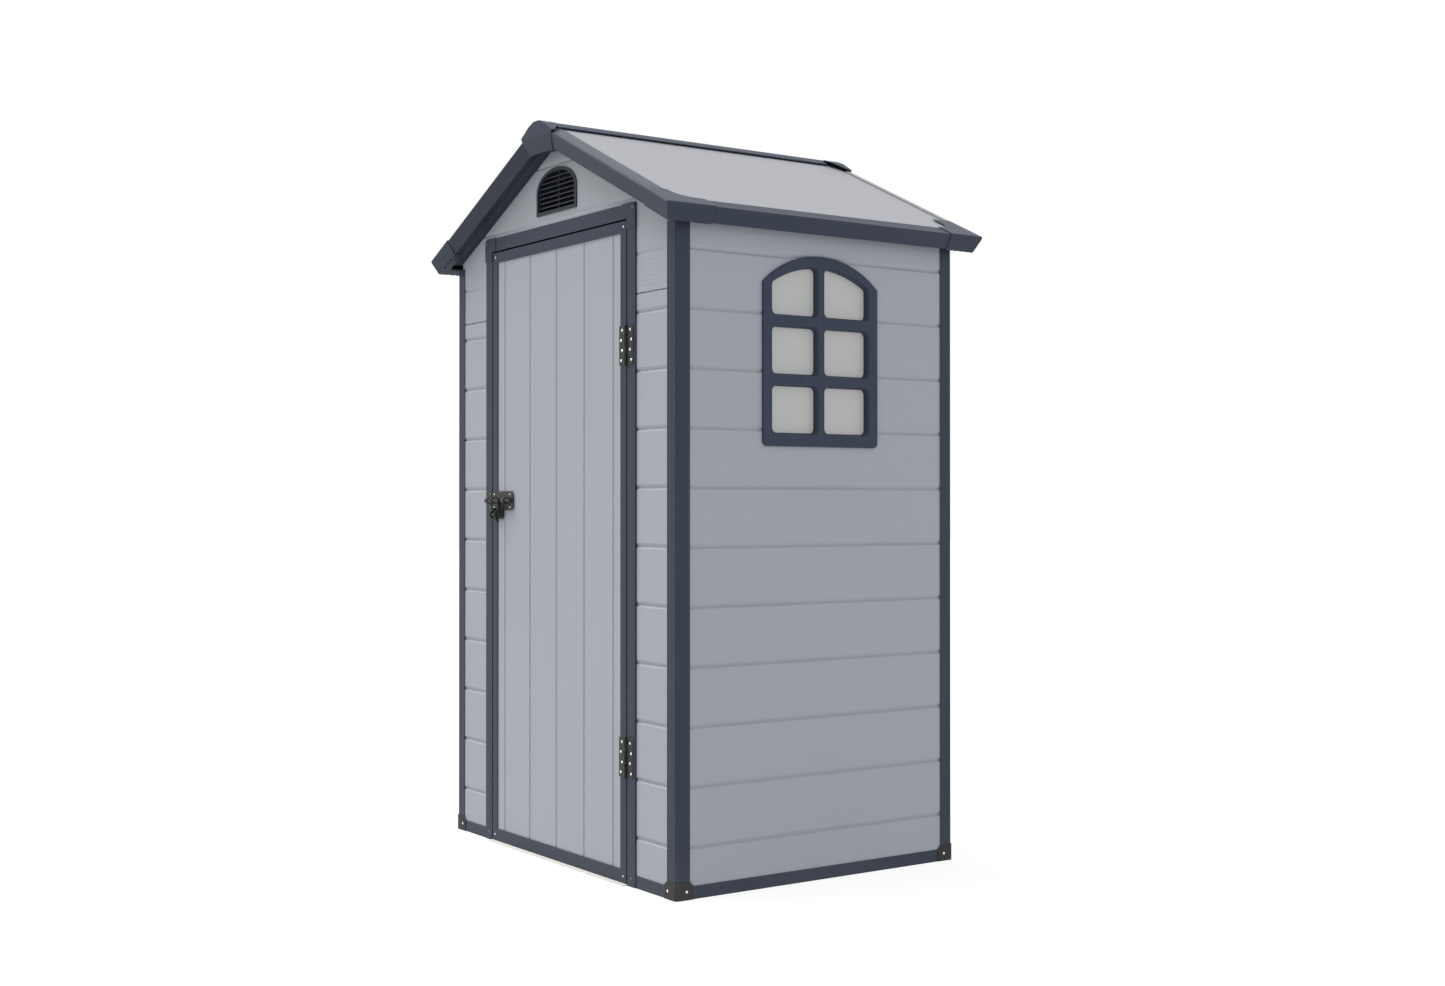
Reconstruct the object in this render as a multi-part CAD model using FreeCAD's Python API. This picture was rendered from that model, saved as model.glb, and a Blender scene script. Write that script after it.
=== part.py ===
import FreeCAD, Part

import math
import os

# Plastic apex garden shed: posts, boards, apex roof, hinged door with a padlock bolt, window and vent.
# Millimetres. +X is the right-hand side seen from the door, +Y goes from the door to the back, +Z is up.
# The origin is on the ground at the middle of the plan. Each node is written to parts/NODE.step.

V = FreeCAD.Vector

# ---- Driving dimensions -------------------------------------------------------------------------
WIDTH = 1214.0  # over the corner posts, X
DEPTH = 922.0  # over the corner posts, Y
PITCH = 151.0  # height of one wall board
FIRST_JOINT = 129.0  # height of the lowest board joint
SLOPE = 25.0  # roof slope, degrees
RIDGE_Z = 2047.5  # where the two roof trim planes meet
OVERHANG_X = 56.6  # roof trim past the side walls
OVERHANG_Y = 62.5  # roof trim past the front and back walls

HX, HY = WIDTH / 2, DEPTH / 2
TAN, COS, SIN = (f(math.radians(SLOPE)) for f in (math.tan, math.cos, math.sin))
FIT = 0.2  # gap round a board in its slot

# Walls
POST = 42.0  # post face width
POST_TOP = 1708.0
POST_BEVEL = 5.0
POST_SKIN = 2.0  # plastic in front of a board
SLOT_BACK = 28.0  # depth of a post's board slot from the outer corner
BOARD_T = 18.0
BOARD_OUT = 2.2  # board face behind the post face
BOARD_IN = BOARD_OUT + BOARD_T
BOARD_TOP = 1728.0
GABLE_JOINT = 1540.0  # where the gable panels stand on the boards
GABLE_RIBS = 6  # shallow moulded lines above that joint
SKIN, WEB = 1.3, 1.1  # twin-wall skins and the webs between them
CELL = 32.0  # pitch of the webs
GROOVE_ABOVE, GROOVE_BELOW = 9.4, 5.4  # height of the groove's two bevels, over and under a joint
GROOVE_DEEP = 4.6
DOOR_GROOVE = 4.0  # half width of the V between two door boards
TONGUE_T, TONGUE_H = 6.0, 7.5

# Base
RAIL_H = 33.0
RAIL_FLOOR = 12.0
RAIL_IN = BOARD_IN + FIT + 3.0
ANCHOR_LIP = 28.0
ANCHOR_Y = 300.0
ANCHOR_R = 4.0
BRACKET_H, BRACKET_LEG, BRACKET_T = 44.0, 52.0, 2.5

# Door frame and door
FRAME_OUT = 418.0  # outer edge of the jambs, X
FRAME_IN = 378.2
FRAME_FRONT = 2.6  # in front of the post face
FRAME_DEEP = 34.0
HEADER_BOTTOM, HEADER_TOP = 1738.5, 1776.5
CORNER_T = 2.2  # plates over the corners of the frame
SLOT = 12.0  # depth of the slots that hold boards in the door frame
STOP = 12.0
LEAF_X = 373.5
LEAF_BOTTOM, LEAF_TOP = 5.0, 1733.0
LEAF_T = 30.0
STILE = 29.3
TOP_RAIL, BOTTOM_RAIL = 30.0, 34.0
DOOR_PITCH = 152.0
DOOR_RECESS = 3.0
THRESHOLD_OUT = 13.0  # threshold strip in front of the door
FACE_Y = -HY - FRAME_FRONT  # front face of the door and its frame

# Screws of the door and its frame
SMALL = {"shank_r": 1.3}
SMALL_HEAD = 2.5

# Hinges
HINGE_Z = (332.5, 1408.0)
HINGE_H = 104.0
HINGE_W = 33.5
HINGE_T = 2.0
HINGE_SCREW_PITCH = 26.3
HINGE_SCREW_X = (19.5, 25.0)  # the screws stand in two staggered rows
KNUCKLE_R, PIN_R = 4.2, 2.0
HINGE_X = (LEAF_X + FRAME_IN) / 2
HINGE_Y = FACE_Y - KNUCKLE_R - 0.2
KNUCKLES = 5

# Bolt latch
BOLT_Z = 1003.0
BOLT_R = 5.0
PLATE_T = 2.5
BOLT_Y = FACE_Y - PLATE_T - 6.5
LUG_Y, LUG_Z = FACE_Y - 18.5, 962.0
LUG_R = 4.5
LUG_T = 3.0

# Window, right wall
WIN_W, WIN_Z0, WIN_SPRING, WIN_TOP = 383.0, 1144.0, 1571.0, 1648.0
WIN_Y = -2.2  # middle of the window
PANE_W, PANE_H = 148.0, 122.0
MULLION = 24.0
WIN_BORDER = (WIN_W - 2 * PANE_W - MULLION) / 2
WIN_RAIL = 32.5
WIN_PROUD = 5.0  # frame face in front of the post face
PANE_FRONT = BOARD_IN - 2.5

# Vent, front gable
VENT_W, VENT_Z0, VENT_SPRING, VENT_TOP = 222.0, 1806.0, 1868.0, 1932.0

# Roof trim, in the frame of one slope
TRIM_T = 2.5
TRIM_H = 45.7
BARGE_FLANGE, FASCIA_FLANGE = 62.0, 56.0
BARGE_LEAN, FASCIA_LEAN = 15.6, 5.6
BARGE_LIP, FASCIA_LIP = 20.0, 30.0
PANEL_T = 20.0
PANEL_TOP = -TRIM_T - 0.3
PANEL_LOW = PANEL_TOP - PANEL_T
EAVE_S = (HX + OVERHANG_X) / COS  # slope length from ridge to the trim's outer edge
GABLE_Y = HY + OVERHANG_Y
CAP_T = 2.2
SEAM, SEAM_DEEP = 3.4, 1.5  # groove in a board at the end of a cap
CAP_FRONT = (119.0, 147.0)  # legs of a front eave cap: up the slope, and along the eave
CAP_BACK = (144.0, 112.0)
PANEL_FRONT, PANEL_BACK_Y = -GABLE_Y + 21.6, GABLE_Y - 15.0
RIDGE_HALF, RIDGE_FLAT = 31.0, 7.5  # half widths of the ridge cap and of its flat top
RIDGE_TOP, RIDGE_FALL = 2052.5, 32.0  # height of its top, and fall of its sides in degrees
END_S, END_REACH = 91.0, 50.0  # a ridge end cap down each slope, and along the ridge
END_RISE = 7.5  # its hood's ends over the trim plane
END_SHOULDER, END_TOP = (44.0, 2041.5), (15.0, 2052.0)  # corners of the hood's line, X and Z
END_LOW, SOFFIT_LOW = 1966.0, 1976.5  # lower edge of a ridge end cap's face, and of its soffit
RIM_W, RIM_TOP = 18.0, 1.5  # raised grey rim along the back edge of the roof
RIM_SET_IN = 3.0  # back barge boards stand this far inside the rim


# ---- Small tools ---------------------------------------------------------------------------------
def box(x0, x1, y0, y1, z0, z1):
    return Part.makeBox(x1 - x0, y1 - y0, z1 - z0, V(x0, y0, z0))


def cyl(r, length, at, axis):
    return Part.makeCylinder(r, length, V(*at), V(*axis))


def prism(points, plane, lo, hi):
    """A polygon extruded along the axis that its plane leaves out: plane is 'xy', 'xz' or 'yz'."""
    place = {
        "xy": (lambda a, b: V(a, b, lo), V(0, 0, hi - lo)),
        "xz": (lambda a, b: V(a, lo, b), V(0, hi - lo, 0)),
        "yz": (lambda a, b: V(lo, a, b), V(hi - lo, 0, 0)),
    }[plane]
    corners = [place[0](a, b) for a, b in points]
    return Part.Face(Part.makePolygon(corners + corners[:1])).extrude(place[1])


def fillet(shape, radius, chosen):
    """Rounds the edges for which chosen(edge) is true."""
    edges = [e for e in shape.Edges if chosen(e)]
    return shape.makeFillet(radius, edges) if edges else shape


def along(axis, extra=lambda e: True):
    """An edge test: straight along one axis, and passing a further test on its middle point."""
    unit = {"x": V(1, 0, 0), "y": V(0, 1, 0), "z": V(0, 0, 1)}[axis]

    def test(edge):
        if len(edge.Vertexes) != 2:
            return False
        run = edge.Vertexes[1].Point - edge.Vertexes[0].Point
        straight = run.Length > 0 and abs(abs(run.dot(unit)) - run.Length) < 1e-6
        return straight and extra((edge.Vertexes[0].Point + edge.Vertexes[1].Point) * 0.5)

    return test


def joined(shapes):
    first, *rest = shapes
    return first.fuse(rest).removeSplitter() if rest else first


def moved(shape, x, y, z):
    shape = shape.copy()
    shape.translate(V(x, y, z))
    return shape


def turned(shape, axis, degrees):
    shape = shape.copy()
    shape.rotate(V(0, 0, 0), V(*axis), degrees)
    return shape


def mirror_x(shape):
    return shape.mirror(V(0, 0, 0), V(1, 0, 0))


def mirror_y(shape):
    return shape.mirror(V(0, 0, 0), V(0, 1, 0))


def solids(shape):
    return [s for s in shape.Solids if s.Volume > 1.0]


def export(name, shapes):
    """Writes one node: one solid, or several separate solids."""
    parts = [s for shape in shapes for s in solids(shape)]
    shape = parts[0] if len(parts) == 1 else Part.makeCompound(parts)
    shape.exportStep(os.path.join("parts", name + ".step"))


# ---- Screws --------------------------------------------------------------------------------------
def screw(at, out, head_r=3.6, shank_r=1.9, length=14.0):
    """A domed screw whose head stands on the point at, facing along out."""
    at, out = V(*at), V(*out)
    head = Part.makeSphere(head_r * 1.25, at - out * head_r * 0.75)
    head = head.common(Part.makeCylinder(head_r, head_r, at, out))
    cross = Part.makeBox(head_r * 1.1, 0.9, 2.0, V(-head_r * 0.55, -0.45, -1.0))
    cross = cross.fuse(Part.makeBox(0.9, head_r * 1.1, 2.0, V(-0.45, -head_r * 0.55, -1.0)))
    cross.Placement = FreeCAD.Placement(
        at + out * (head_r * 0.5 + 0.6), FreeCAD.Rotation(V(0, 0, 1), out)
    )
    shank = Part.makeCylinder(shank_r, length + 0.4, at - out * length, out)
    return head.cut(cross).fuse(shank).removeSplitter()


def screw_hole(at, out, shank_r=1.9, length=14.0):
    at, out = V(*at), V(*out)
    return Part.makeCylinder(shank_r + 0.1, length + 6.0, at - out * (length + 1.0), out)


def drilled(shape, points, out, **sizes):
    for at in points:
        shape = shape.cut(screw_hole(at, out, **sizes))
    return shape


# ---- Posts and base ------------------------------------------------------------------------------
def corner_post():
    """The front left post, with a slot for the front boards and one for the side boards."""
    bevel, skin = POST_BEVEL, 3.0
    slot_in = BOARD_IN + FIT
    lip = slot_in + skin
    outline = [
        (bevel, 0), (POST, 0), (POST, POST_SKIN), (SLOT_BACK, POST_SKIN),
        (SLOT_BACK, slot_in), (POST, slot_in), (POST, lip), (lip, lip),
        (lip, POST), (slot_in, POST), (slot_in, SLOT_BACK), (POST_SKIN, SLOT_BACK),
        (POST_SKIN, POST), (0, POST), (0, bevel),
    ]
    hollow_to = SLOT_BACK - skin
    hollow = [
        (bevel, skin), (hollow_to, skin), (hollow_to, slot_in - 0.5),
        (slot_in - 0.5, hollow_to), (skin, hollow_to), (skin, bevel),
    ]
    body = prism(outline, "xy", BRACKET_T, POST_TOP)
    body = body.cut(prism(hollow, "xy", BRACKET_T, POST_TOP))
    near = bevel * 0.3
    body = fillet(body, 2.5, along("z", lambda p: min(p.x, p.y) < 0.01 and max(p.x, p.y) < bevel + near))
    return moved(body, -HX, -HY, 0)


def base_bracket():
    """The front left base bracket: an L round the foot of the post, with a sole plate."""
    bevel, t, leg, cut = POST_BEVEL, BRACKET_T, BRACKET_LEG, 10.0
    plan = [
        (bevel - 1, -t), (leg, -t), (leg, 0), (bevel, 0), (0, bevel), (0, leg), (-t, leg),
        (-t, bevel - 1),
    ]
    body = prism(plan, "xy", 0, BRACKET_H)
    sole = prism([(bevel, 0), (POST, 0), (POST, POST), (0, POST), (0, bevel)], "xy", 0, t - 0.1)
    body = body.fuse(sole).removeSplitter()
    for plane in ("xz", "yz"):
        corner = [(leg - cut, BRACKET_H), (leg + 1, BRACKET_H), (leg + 1, BRACKET_H - cut - 1)]
        body = body.cut(prism(corner, plane, -t - 1, 1))
    return moved(body, -HX, -HY, 0)


def rail_section(lip):
    """Base rail across its run: 0 is the outer face, with an anchor lip on the inside."""
    slot_out, slot_in = POST_SKIN, BOARD_IN + FIT
    points = [(0, 0), (RAIL_IN + lip, 0), (RAIL_IN + lip, 3), (RAIL_IN, 3), (RAIL_IN, RAIL_H)]
    points += [(slot_in, RAIL_H), (slot_in, RAIL_FLOOR), (slot_out, RAIL_FLOOR), (slot_out, RAIL_H)]
    return points + [(1.0, RAIL_H), (0, RAIL_H - 1.0)]


def base_rail(start, end, lip=0.0):
    """A rail along X at the front wall, from start to end, hollow under the board slot."""
    points = [(-HY + v, z) for v, z in rail_section(lip)]
    body = prism(points, "yz", start, end)
    hollow = box(start, end, -HY + 3, -HY + RAIL_IN - 3, 3, RAIL_FLOOR - 3)
    return body.cut(hollow)


def side_rail():
    """The left wall's base rail, with two anchor holes in its inner lip."""
    body = base_rail(-(HY - POST), HY - POST, ANCHOR_LIP)
    body = turned(body, (0, 0, 1), -90)
    body = moved(body, -(HX - HY), 0, 0)
    for y in (-ANCHOR_Y, ANCHOR_Y):
        body = body.cut(cyl(ANCHOR_R, 10, (-ANCHOR_X, y, -3), (0, 0, 1)))
    return body


ANCHOR_X = HX - RAIL_IN - ANCHOR_LIP / 2


# ---- Boards --------------------------------------------------------------------------------------
def board_section(low, high, tongue, groove, above, below):
    """One board across its run, as (depth from the outer face, height), bevelled at both joints."""
    mid = BOARD_T / 2
    half, slack = TONGUE_T / 2, 0.25
    points = [(GROOVE_DEEP, low)]
    if groove:
        points += [
            (mid - half - slack, low), (mid - half - slack, low + TONGUE_H + slack),
            (mid + half + slack, low + TONGUE_H + slack), (mid + half + slack, low),
        ]
    points += [(BOARD_T, low), (BOARD_T, high)]
    if tongue:
        points += [
            (mid + half, high), (mid + half, high + TONGUE_H),
            (mid - half, high + TONGUE_H), (mid - half, high),
        ]
    return points + [(GROOVE_DEEP, high), (0, high - below), (0, low + above)]


def boards(bottom, top, first, pitch, start, end, bevels=(GROOVE_ABOVE, GROOVE_BELOW)):
    """Tongued boards stacked from bottom to top along X, with their outer faces on y = 0."""
    joints = [bottom]
    level = first
    while level < top - 1:
        joints.append(level)
        level += pitch
    joints.append(top)
    made = []
    for low, high in zip(joints, joints[1:]):
        section = board_section(low, high, high < top, low > bottom, *bevels)
        board = prism(section, "yz", start, end)
        room_low, room_high = low + TONGUE_H + SKIN, high - bevels[1] - SKIN
        cells = round((room_high - room_low) / CELL)
        for k in range(cells):
            z0 = room_low + (room_high - room_low) * k / cells
            z1 = room_low + (room_high - room_low) * (k + 1) / cells
            board = board.cut(box(start, end, SKIN, BOARD_T - SKIN, z0 + WEB / 2, z1 - WEB / 2))
        made.append(board)
    return made


def front_boards():
    start = FRAME_OUT - SLOT + FIT
    end = HX - SLOT_BACK - FIT
    stack = boards(RAIL_FLOOR, GABLE_JOINT, FIRST_JOINT, PITCH, start, end)
    right = [moved(b, 0, -HY + BOARD_OUT, 0) for b in stack]
    return [mirror_x(b) for b in right] + right


def back_boards():
    end = HX - SLOT_BACK - FIT
    stack = boards(RAIL_FLOOR, GABLE_JOINT, FIRST_JOINT, PITCH, -end, end)
    return [mirror_y(moved(b, 0, -HY + BOARD_OUT, 0)) for b in stack]


def side_boards():
    """The left wall's boards."""
    end = HY - SLOT_BACK - FIT
    stack = boards(RAIL_FLOOR, BOARD_TOP, FIRST_JOINT, PITCH, -end, end)
    made = []
    for board in stack:
        board = turned(board, (0, 0, 1), -90)
        made.append(moved(board, -HX + BOARD_OUT, 0, 0))
    return made


# ---- Gables --------------------------------------------------------------------------------------
def roof_line(drop):
    """Height at the ridge of the line that runs drop below the roof trim plane."""
    return RIDGE_Z - drop / COS


def gable_outline(half, bottom, drop):
    top = roof_line(drop)
    low = top - half * TAN
    return [(-half, bottom), (half, bottom), (half, low), (0, top), (-half, low)]


def face_groove(level, below, above, deep):
    """A V notch along X in the front wall's face, round the height level."""
    face = -HY + BOARD_OUT
    points = [(face - 0.01, level - below), (face + deep, level), (face - 0.01, level + above)]
    return prism([*points, (face - 1, level + above), (face - 1, level - below)], "yz", -HX, HX)


def gable_panel():
    """The back gable panel in the front wall's place: plain, with the board grooves in its face."""
    half = HX - SLOT_BACK - FIT
    y0, y1 = -HY + BOARD_OUT, -HY + BOARD_IN
    body = prism(gable_outline(half, GABLE_JOINT, 26.6), "xz", y0, y1)
    level = FIRST_JOINT
    while level < RIDGE_Z:
        if level > GABLE_JOINT + 20:
            body = body.cut(face_groove(level, GROOVE_BELOW, GROOVE_ABOVE, GROOVE_DEEP * 0.6))
        level += PITCH
    for k in range(GABLE_RIBS):
        body = body.cut(face_groove(GABLE_JOINT + 14 + 13.0 * k, 1.8, 1.8, 0.7))
    core = gable_outline(half - 12, GABLE_JOINT + 4, 60)
    hollow = prism(core, "xz", y0 + GROOVE_DEEP + SKIN, y1 - SKIN)
    ribs = [box(x - WEB / 2, x + WEB / 2, y0, y1, GABLE_JOINT, RIDGE_Z) for x in range(-540, 541, 60)]
    return body, hollow.cut(Part.makeCompound(ribs))


def arch(half, bottom, spring, top, grow=0.0):
    """A closed face in the X-Z plane: straight sides, and a segment of a circle above them."""
    half, bottom, rise = half + grow, bottom - grow, top - spring
    a, b, c = V(-half, 0, spring), V(0, 0, spring + rise + grow), V(half, 0, spring)
    low_left, low_right = V(-half, 0, bottom), V(half, 0, bottom)
    edges = [
        Part.makeLine(low_left, low_right),
        Part.makeLine(low_right, c),
        Part.Arc(c, b, a).toShape(),
        Part.makeLine(a, low_left),
    ]
    return Part.Face(Part.Wire(edges))


def vent_face(shrink):
    """The vent's outline in the X-Z plane: a half ellipse on straight sides."""
    half = VENT_W / 2 - shrink
    rise = VENT_TOP - VENT_SPRING - shrink
    curve = Part.Ellipse(V(0, 0, VENT_SPRING), half, rise)
    curve.Axis = V(0, -1, 0)
    curve.XAxis = V(1, 0, 0)
    top = Part.ArcOfEllipse(curve, 0, math.pi).toShape()
    right, left = V(half, 0, VENT_SPRING), V(-half, 0, VENT_SPRING)
    low_right, low_left = V(half, 0, VENT_Z0 + shrink), V(-half, 0, VENT_Z0 + shrink)
    corners = [left, low_left, low_right, right]
    sides = [Part.makeLine(a, b) for a, b in zip(corners, corners[1:])]
    return Part.Face(Part.Wire(Part.__sortEdges__([top, *sides])))


def slab(face, y0, y1):
    """A face in the X-Z plane, pushed along Y from y0 to y1."""
    moved = face.copy()
    moved.translate(V(0, y0, 0))
    return moved.extrude(V(0, y1 - y0, 0))


VENT_FACE = -HY + BOARD_OUT  # the boards' face that the vent's flange lies on


def vent_frame():
    flange = slab(vent_face(0), VENT_FACE - 4, VENT_FACE)
    flange = flange.fuse(slab(vent_face(6), VENT_FACE, VENT_FACE + BOARD_T))
    return flange.cut(slab(vent_face(9), VENT_FACE - 5, VENT_FACE + BOARD_T + 1)).removeSplitter()


def vent_louvres():
    inside = slab(vent_face(9.05), VENT_FACE - 1, VENT_FACE + BOARD_T)
    slats = []
    pitch, blade, thick = 13.6, 13.0, 2.2
    level = VENT_Z0 + 6
    while level < VENT_TOP:
        y0, back = VENT_FACE + 1, level + blade * 0.8
        corners = [(y0, level), (y0 + blade, back), (y0 + blade, back + thick)]
        slats.append(prism([*corners, (y0, level + thick)], "yz", -VENT_W / 2, VENT_W / 2))
        level += pitch
    rib = box(-1.5, 1.5, VENT_FACE + 6, VENT_FACE + BOARD_T - 2, VENT_Z0, VENT_TOP)
    return joined([rib, *slats]).common(inside)


def front_gable():
    body, hollow = gable_panel()
    legs = FRAME_OUT - SLOT + FIT
    doorway = box(-legs, legs, -HY, 0, 0, HEADER_TOP - SLOT + FIT)
    keep = box(-legs - 6, legs + 6, -HY, 0, 0, HEADER_TOP)
    hollow = hollow.cut(slab(vent_face(-4), -HY, 0)).cut(keep)
    return body.cut(doorway).cut(slab(vent_face(5.9), -HY, 0)).cut(hollow)


def gable_trims(set_in):
    """The front gable's two channels over the sloping edge, each with a soffit flange."""
    made = []
    out, skin = -HY - 0.5, 2.6
    board_face, board_back = -HY + BOARD_OUT - FIT, -HY + BOARD_IN + FIT
    top, low = PANEL_LOW - 0.3, -TRIM_H - 3.0
    soffit = -GABLE_Y + BARGE_LEAN + BARGE_LIP + 2.0 + set_in
    points = [
        (out, low), (board_face, low), (board_face, top - skin), (board_back, top - skin),
        (board_back, low), (board_back + skin, low), (board_back + skin, top), (out, top),
        (out, -TRIM_H + TRIM_T), (soffit, -TRIM_H + TRIM_T), (soffit, -TRIM_H), (out, -TRIM_H),
    ]
    run_end = (HX - 0.5) / COS - 12
    body = on_slope(prism(points, "yz", -60, run_end))
    return [body, mirror_x(body)]


# ---- Roof ----------------------------------------------------------------------------------------
def on_slope(shape, keep_from=0.4):
    """Carries a shape from the slope's own frame (down the slope, Y, normal) to the right roof slope."""
    shape = turned(shape, (0, 1, 0), SLOPE)
    shape = moved(shape, 0, 0, RIDGE_Z)
    return shape.common(box(keep_from, 2 * HX, -DEPTH, DEPTH, 0, 2 * RIDGE_Z))


def roof_panel():
    """Twin-wall sheet, hollow between its skins, ribbed down the slope."""
    s_end = EAVE_S - FASCIA_LEAN - 16
    body = box(-30, s_end, PANEL_FRONT, PANEL_BACK_Y, PANEL_LOW, PANEL_TOP)
    cells, edge, skin = 12, 10.0, 2.2
    step = (PANEL_BACK_Y - PANEL_FRONT - 2 * edge) / cells
    for k in range(cells):
        y0 = PANEL_FRONT + edge + k * step
        body = body.cut(box(40, s_end - edge, y0 + 1, y0 + step - 1, PANEL_LOW + skin, PANEL_TOP - skin))
    return on_slope(body)


def roof_rim():
    """The right half of the raised rim on the back edge: a channel turned down over the sheet's edge."""
    y0, y1, t = GABLE_Y - RIM_W, GABLE_Y, 2.0
    seat = PANEL_TOP + 0.1
    points = [
        (y0, seat), (y0, RIM_TOP), (y1 - 1, RIM_TOP), (y1, RIM_TOP - 1), (y1, -16), (y1 - t, -16),
        (y1 - t, RIM_TOP - t), (y0 + t, RIM_TOP - t), (y0 + t, seat),
    ]
    return on_slope(prism(points, "yz", END_S + 0.5, EAVE_S - CAP_BACK[0] - 0.5))


def trim_section(flange, lean, lip):
    """Roof trim across its run, as (distance inwards from the outer edge, height over the trim plane)."""
    t, h = TRIM_T, TRIM_H
    top = [(flange, 0)]
    for middle in (flange * 0.80, flange * 0.56, flange * 0.32):
        top += [(middle + 1.8, 0), (middle, -1.3), (middle - 1.8, 0)]
    outside = [(4.5, 0), (1.7, -1.0), (0.4, -4.2)]
    outside += [(lean - 0.4, -h + 2), (lean + 1.8, -h), (lean + lip, -h)]
    inside = [(lean + lip, -h + t), (lean + t, -h + t), (3.6, -4.2), (4.6, -t), (flange, -t)]
    return top + outside + inside


def barge_board():
    """The front right barge board, run down the slope and cut off at the eave corner's mitre."""
    points = [(-GABLE_Y + v, n) for v, n in trim_section(BARGE_FLANGE, BARGE_LEAN, BARGE_LIP)]
    body = prism(points, "yz", -60, EAVE_S + 20)
    return on_slope(body.cut(corner_mitre(0.3)).cut(seam_across_slope(CAP_FRONT[0])))


def seam_across_slope(leg):
    """The shallow groove round a barge board where an eave cap's leg ends."""
    s0 = EAVE_S - leg
    ring = box(s0 - SEAM, s0, -GABLE_Y - 1, -GABLE_Y + BARGE_FLANGE + 1, -TRIM_H - 1, 1)
    return ring.cut(leaning_block(-SEAM_DEEP, 2 * leg, 2 * leg))


def seam_along_eave(leg):
    """The shallow groove round an eave fascia where a front eave cap's leg ends."""
    y0 = -GABLE_Y + leg
    ring = box(EAVE_S - FASCIA_FLANGE - 1, EAVE_S + 1, y0, y0 + SEAM, -TRIM_H - 1, 1)
    return ring.cut(leaning_block(-SEAM_DEEP, 2 * leg, 2 * leg))


def back_barge_board():
    """The back barge board, drawn at the front: no top flange, and set in behind the roof's rim."""
    section = trim_section(BARGE_FLANGE, BARGE_LEAN, BARGE_LIP)
    points = [(-GABLE_Y + RIM_SET_IN + v, n) for v, n in section if n < -1.5 and v < BARGE_FLANGE]
    body = prism(points, "yz", -60, EAVE_S + 20)
    return on_slope(body.cut(corner_mitre(0.3)))


def eave_fascia():
    """The right eave fascia, mitred to both barge boards."""
    points = [(EAVE_S - v, n) for v, n in trim_section(FASCIA_FLANGE, FASCIA_LEAN, FASCIA_LIP)]
    body = prism(points, "xz", -GABLE_Y - 20, GABLE_Y + 20)
    keep = corner_mitre(0.0)
    middle = box(0, 2 * EAVE_S, -GABLE_Y + 70, GABLE_Y - 70, -99, 99)
    body = body.common(keep.fuse(mirror_y(keep)).fuse(middle))
    within = leaning_block(0.0, EAVE_S, GABLE_Y + 1)
    body = body.common(within.fuse(mirror_y(within)))
    return on_slope(body.cut(seam_along_eave(CAP_FRONT[1])).cut(mirror_y(seam_along_eave(CAP_BACK[1]))))


def corner_mitre(gap):
    """The eave's side of the mitre at the front right eave corner, as a prism through the trim."""
    reach = 80.0
    tip_s, tip_y = EAVE_S - gap, -GABLE_Y
    far = [(tip_s + reach, tip_y - reach), (tip_s + reach, tip_y + reach), (tip_s - reach, tip_y + reach)]
    return prism(far, "xy", -99, 99)


def leaning_profile(lean, grow, reach):
    """The outside of a leaning face with a rounded top edge, as (distance inwards, height)."""
    low = -TRIM_H - grow
    foot = [(lean - grow - 0.5, low + 2), (lean - grow + 1.5, low)] if grow > 1 else [(lean - grow, low)]
    edge = [(4 - grow, grow), (1.4 - grow, grow - 1), (-grow, grow - 4)]
    return [(reach, grow), *edge, *foot, (reach, low)]


def leaning_block(grow, leg_s, leg_y):
    """The solid inside the two leaning faces of an eave corner, grown outwards by grow."""
    across = [(-GABLE_Y + v, n) for v, n in leaning_profile(BARGE_LEAN, grow, leg_y)]
    down = [(EAVE_S - v, n) for v, n in leaning_profile(FASCIA_LEAN, grow, leg_s)]
    body = prism(across, "yz", EAVE_S - leg_s, EAVE_S + grow + 1)
    return body.common(prism(down, "xz", -GABLE_Y - grow - 1, -GABLE_Y + leg_y))


def cap_tip(round_off):
    """What the rounded tip of an eave cap leaves out, seen square to the roof."""
    s0, y0 = EAVE_S + CAP_T, -GABLE_Y - CAP_T
    arc = [(s0 - round_off, y0), (s0 - round_off * 0.3, y0 + round_off * 0.3), (s0, y0 + round_off)]
    outline = [(s0 + 1, y0 - 1), (s0 - round_off, y0 - 1), *arc, (s0 + 1, y0 + round_off)]
    return prism(outline, "xy", -99, 99)


def eave_cap(leg_s, leg_y):
    """The front right eave corner cap: a thin shell over the mitre, with a curved inner edge on top."""
    body = leaning_block(CAP_T, leg_s, leg_y).cut(cap_tip(3.5))
    body = body.cut(leaning_block(0.15, leg_s + 1, leg_y + 1))
    s0, y0 = EAVE_S - FASCIA_FLANGE - 4, -GABLE_Y + BARGE_FLANGE + 4
    window = box(s0 - 300, s0, y0, y0 + 300, -5, 9)
    curve = min(leg_y - BARGE_FLANGE, leg_s - FASCIA_FLANGE) - 10
    window = fillet(window, curve, along("z", lambda p: abs(p.x - s0) < 1 and abs(p.y - y0) < 1))
    s1, y1 = EAVE_S - FASCIA_LEAN - FASCIA_LIP + 4, -GABLE_Y + BARGE_LEAN + BARGE_LIP + 1
    below = box(s1 - 300, s1, y1, y1 + 300, -TRIM_H - 9, -TRIM_H + 9)
    body = body.cut(window).cut(below)
    low = -TRIM_H - CAP_T - 1
    for k in range(3):
        s2, y2 = EAVE_S - 42 - 21 * k, -GABLE_Y + 42 + 21 * k
        body = body.cut(box(s2 - 7, s2, -GABLE_Y + 8, -GABLE_Y + BARGE_LEAN + 4, low, low + 4))
        body = body.cut(box(EAVE_S - FASCIA_LEAN - 6, EAVE_S, y2, y2 + 7, low, low + 4))
    return on_slope(body).cut(outside_wall_notch())


def outside_wall_notch():
    """The space that the corner post and its walls need under the eave corner cap."""
    return box(0, HX + 0.3, -HY - 0.8, HY + 0.8, 0, POST_TOP + 1)


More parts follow.
